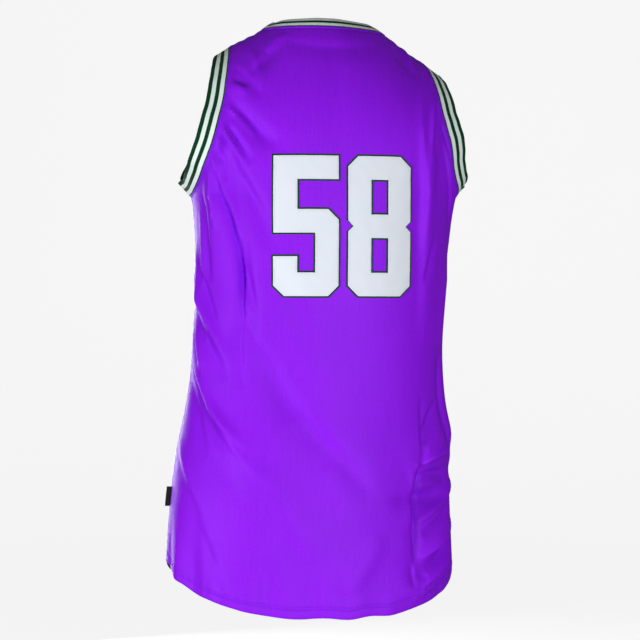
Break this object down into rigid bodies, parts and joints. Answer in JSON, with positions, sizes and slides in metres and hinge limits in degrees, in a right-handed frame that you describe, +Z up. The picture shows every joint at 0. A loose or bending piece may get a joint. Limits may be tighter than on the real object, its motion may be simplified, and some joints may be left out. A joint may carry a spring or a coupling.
{
  "type": "basketball jersey",
  "caption": "Sleeveless scoop-necked sports jersey in its worn shape, with striped ribs at neck and armholes, a curved hem and a number sewn on the back.",
  "frame": {"origin": "between the neck ends of the two shoulder seams, where the wearer's shoulders carry the jersey", "axes": "+Z up, +Y out of the back, so the front faces -Y, and +X towards the wearer's left"},
  "size_m": [0.3924, 0.2508, 0.757],
  "materials": {
    "body_knit": "smooth purple polyester knit with a slight sheen",
    "rib_knit": "white rib knit with dark green stripes",
    "number_edging": "dark green twill",
    "number_face": "white twill",
    "label": "black woven ribbon"
  },
  "bodies": {
    "root": {"back_panel": "body_knit", "front_panel": "body_knit", "neck_rib": "rib_knit", "armhole_rib_left": "rib_knit", "armhole_rib_right": "rib_knit", "number_first_edging": "number_edging", "number_first_digit": "number_face", "number_second_edging": "number_edging", "number_second_digit": "number_face", "side_label": "label"}
  },
  "joints": []
}
